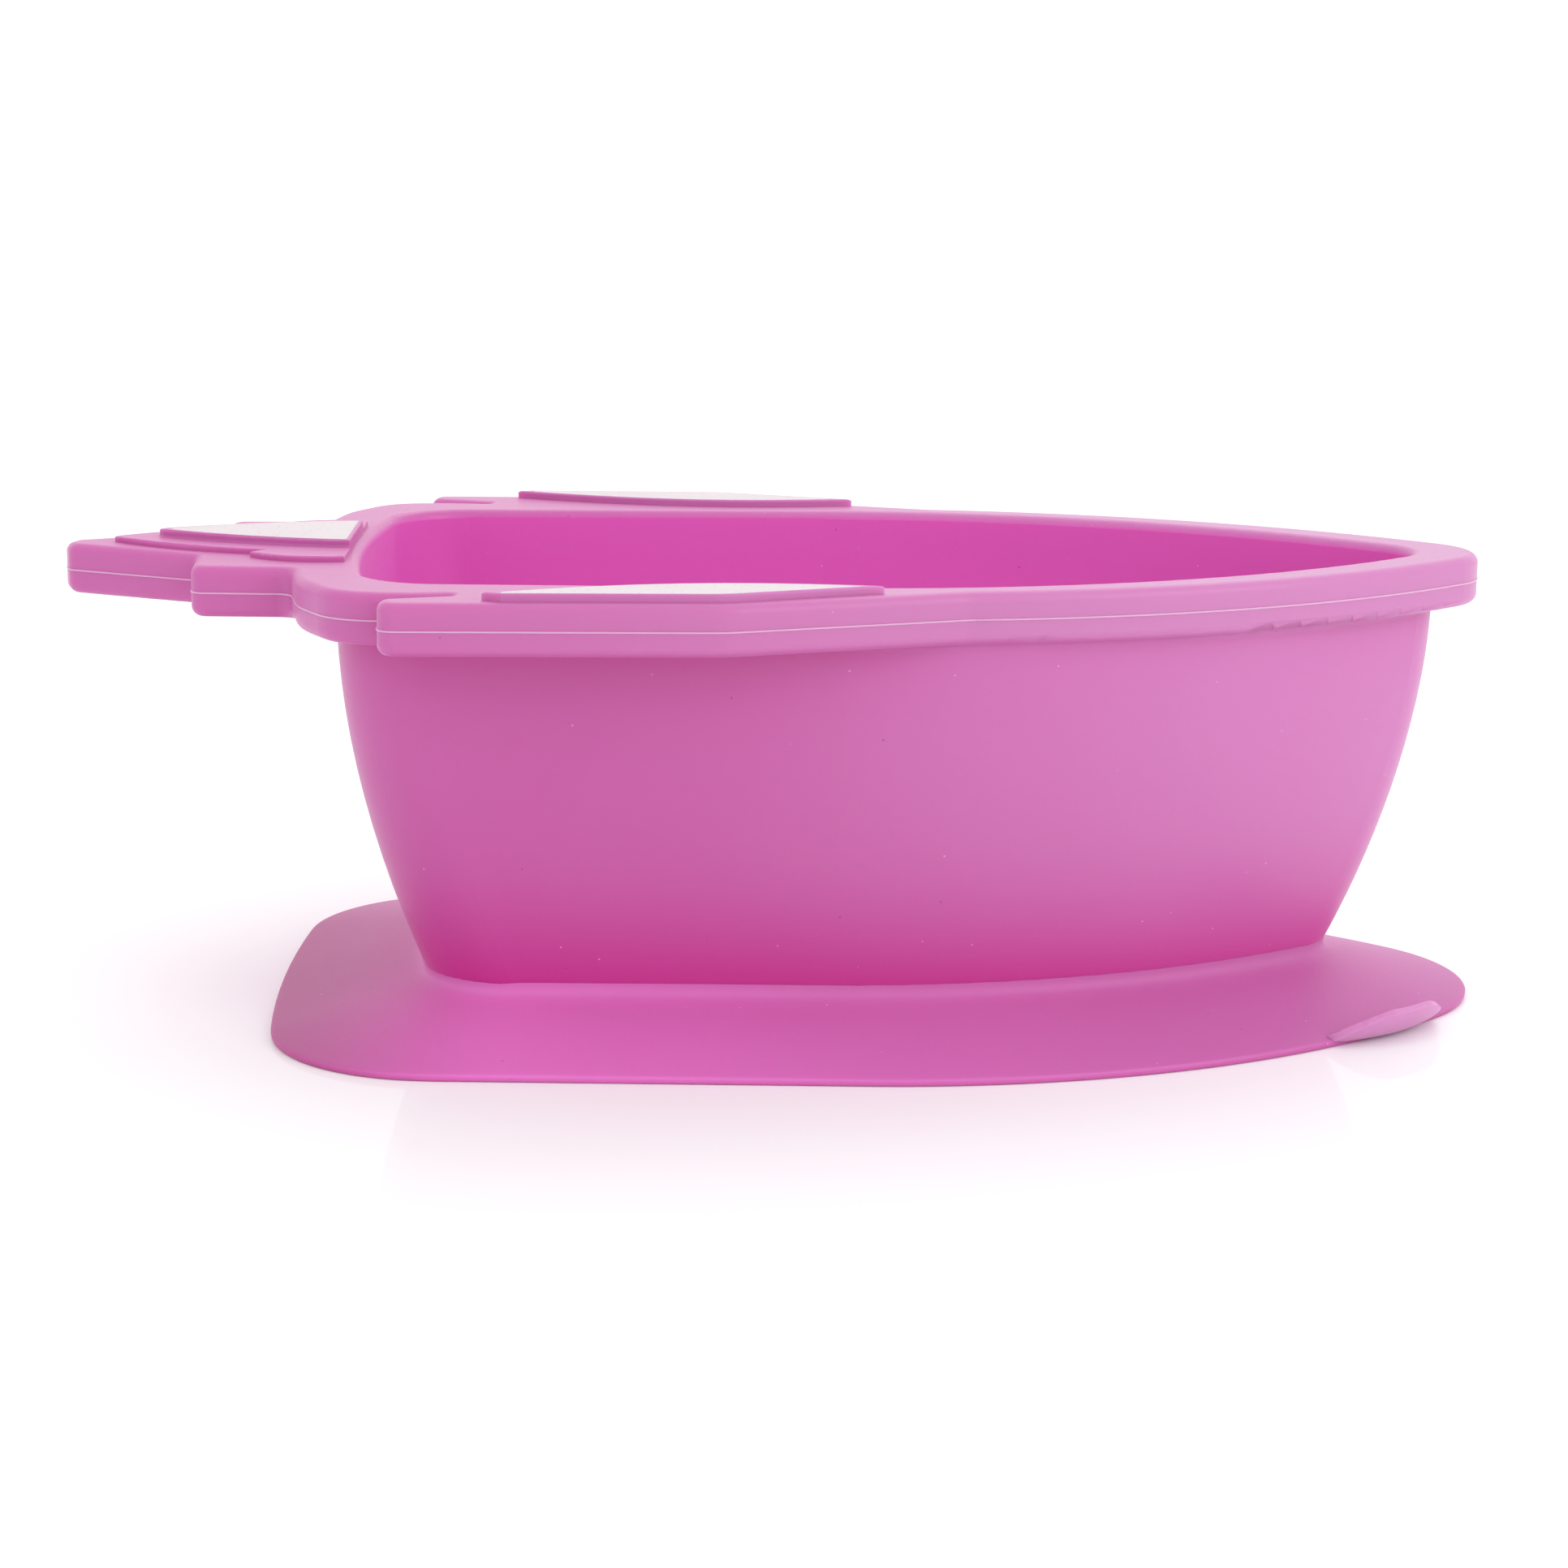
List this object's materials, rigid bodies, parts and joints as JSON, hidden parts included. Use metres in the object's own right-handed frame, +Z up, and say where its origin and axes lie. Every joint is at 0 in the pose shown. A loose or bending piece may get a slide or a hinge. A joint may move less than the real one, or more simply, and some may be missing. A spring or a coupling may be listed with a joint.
{
  "type": "suction bowl",
  "caption": "Rocket-shaped toddler feeding bowl in soft silicone with a flexible suction skirt, a lift-up release tab and white inlays on its raised fins and flame tail.",
  "frame": {"origin": "middle of the whole bowl's box, on the surface that the sealing lip stands on", "axes": "+X towards the rocket's nose, +Y towards its left fin, +Z up"},
  "size_m": [0.2005, 0.108, 0.0659],
  "materials": {
    "pink_silicone": "satin translucent silicone",
    "pink_silicone_skirt": "satin translucent silicone, thinner and softer",
    "white_silicone": "matt off-white silicone"
  },
  "bodies": {
    "bowl": {"bowl_shell": "pink_silicone", "flame_inlay": "white_silicone", "fin_inlay_left": "white_silicone", "fin_inlay_right": "white_silicone"},
    "skirt": {"suction_skirt": "pink_silicone_skirt"},
    "tab": {"release_tab": "pink_silicone_skirt"}
  },
  "joints": [
    {"name": "suction_press", "type": "slide", "parent": "bowl", "child": "skirt", "axis": [0, 0, 1], "range_m": [0, 0.002], "stiffness_N_per_m": 2500, "springref_m": -0.0012, "deforming": ["suction_skirt"]},
    {"name": "tab_lift", "type": "hinge", "parent": "skirt", "child": "tab", "pos_m": [0.08621, -0.02565, 0.001], "axis": [-0.7302, -0.6832, 0], "range_deg": [-20, 60], "stiffness_Nm_per_rad": 0.02}
  ]
}
